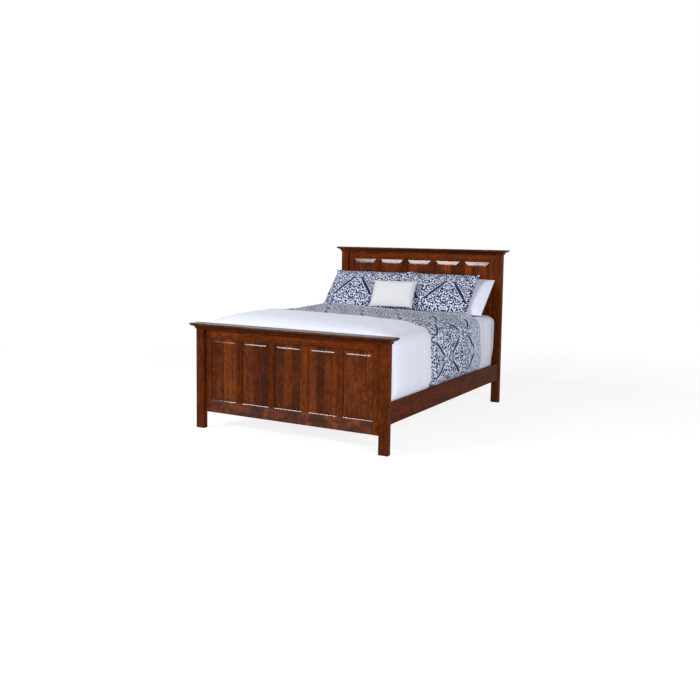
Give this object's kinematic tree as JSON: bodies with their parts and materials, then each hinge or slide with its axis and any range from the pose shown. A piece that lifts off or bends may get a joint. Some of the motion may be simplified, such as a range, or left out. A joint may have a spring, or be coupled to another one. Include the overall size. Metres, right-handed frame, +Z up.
{
  "type": "panel bed",
  "caption": "Wooden bed with raised-panel headboard and footboard under crown mouldings, side rails on hooks, slats, and a mattress dressed with comforter, coverlet and pillows.",
  "frame": {"origin": "on the floor under the middle of the bed's outer box", "axes": "+Z up, +Y from the footboard to the headboard, +X to the right seen from the foot"},
  "size_m": [1.672, 2.266, 1.335],
  "materials": {
    "cherry_frame": "stained cherry, satin lacquer",
    "cherry_panel": "stained cherry, satin lacquer",
    "cherry_cap": "stained cherry, satin lacquer",
    "plain_poplar": "planed poplar, unfinished",
    "zinc_steel": "zinc-plated steel",
    "screw_steel": "zinc-plated steel",
    "glide": "black nylon foot on a steel stem",
    "ticking": "woven ticking",
    "mattress_ticking": "quilted ticking",
    "white_cotton": "plain cotton sheeting",
    "white_matelasse": "white matelasse cotton",
    "damask_cotton": "navy and pale blue damask print on cotton",
    "damask_sham": "navy and white damask print on cotton",
    "pillow_cotton": "plain cotton pillow case",
    "ivory_rib": "ivory ribbed cotton"
  },
  "bodies": {
    "root": {"bottom_sheet": "white_cotton", "centre_leg_1": "plain_poplar", "centre_leg_2": "plain_poplar", "comforter": "damask_cotton", "coverlet": "white_matelasse", "footboard_bottom_rail": "cherry_frame", "footboard_cap": "cherry_cap", "footboard_crown": "cherry_cap", "footboard_left_post": "cherry_frame", "footboard_left_stile": "cherry_frame", "footboard_mullion_1": "cherry_frame", "footboard_mullion_2": "cherry_frame", "footboard_mullion_3": "cherry_frame", "footboard_mullion_4": "cherry_frame", "footboard_panel_1": "cherry_panel", "footboard_panel_2": "cherry_panel", "footboard_panel_3": "cherry_panel", "footboard_panel_4": "cherry_panel", "footboard_panel_5": "cherry_panel", "footboard_right_post": "cherry_frame", "footboard_right_stile": "cherry_frame", "footboard_top_rail": "cherry_frame", "foundation": "ticking", "headboard_bottom_rail": "cherry_frame", "headboard_cap": "cherry_cap", "headboard_crown": "cherry_cap", "headboard_left_post": "cherry_frame", "headboard_left_stile": "cherry_frame", "headboard_mullion_1": "cherry_frame", "headboard_mullion_2": "cherry_frame", "headboard_mullion_3": "cherry_frame", "headboard_mullion_4": "cherry_frame", "headboard_panel_1": "cherry_panel", "headboard_panel_2": "cherry_panel", "headboard_panel_3": "cherry_panel", "headboard_panel_4": "cherry_panel", "headboard_panel_5": "cherry_panel", "headboard_right_post": "cherry_frame", "headboard_right_stile": "cherry_frame", "headboard_top_rail": "cherry_frame", "left_cleat": "plain_poplar", "left_pillow": "pillow_cotton", "left_sham": "damask_sham", "left_side_rail": "cherry_frame", "lumbar_pillow": "ivory_rib", "mattress": "mattress_ticking", "plate_screws": "screw_steel", "post_slot_plates": "zinc_steel", "rail_hook_plates": "zinc_steel", "right_cleat": "plain_poplar", "right_pillow": "pillow_cotton", "right_sham": "damask_sham", "right_side_rail": "cherry_frame", "slat_1": "plain_poplar", "slat_2": "plain_poplar", "slat_3": "plain_poplar", "slat_4": "plain_poplar", "slat_screws": "screw_steel"},
    "glide_1": {"leg_glide_1": "glide"},
    "glide_2": {"leg_glide_2": "glide"}
  },
  "joints": [
    {"name": "glide_1_height", "type": "slide", "parent": "root", "child": "glide_1", "axis": [0, 0, 1], "range_m": [0, 0.015]},
    {"name": "glide_2_height", "type": "slide", "parent": "root", "child": "glide_2", "axis": [0, 0, 1], "range_m": [0, 0.015]}
  ]
}
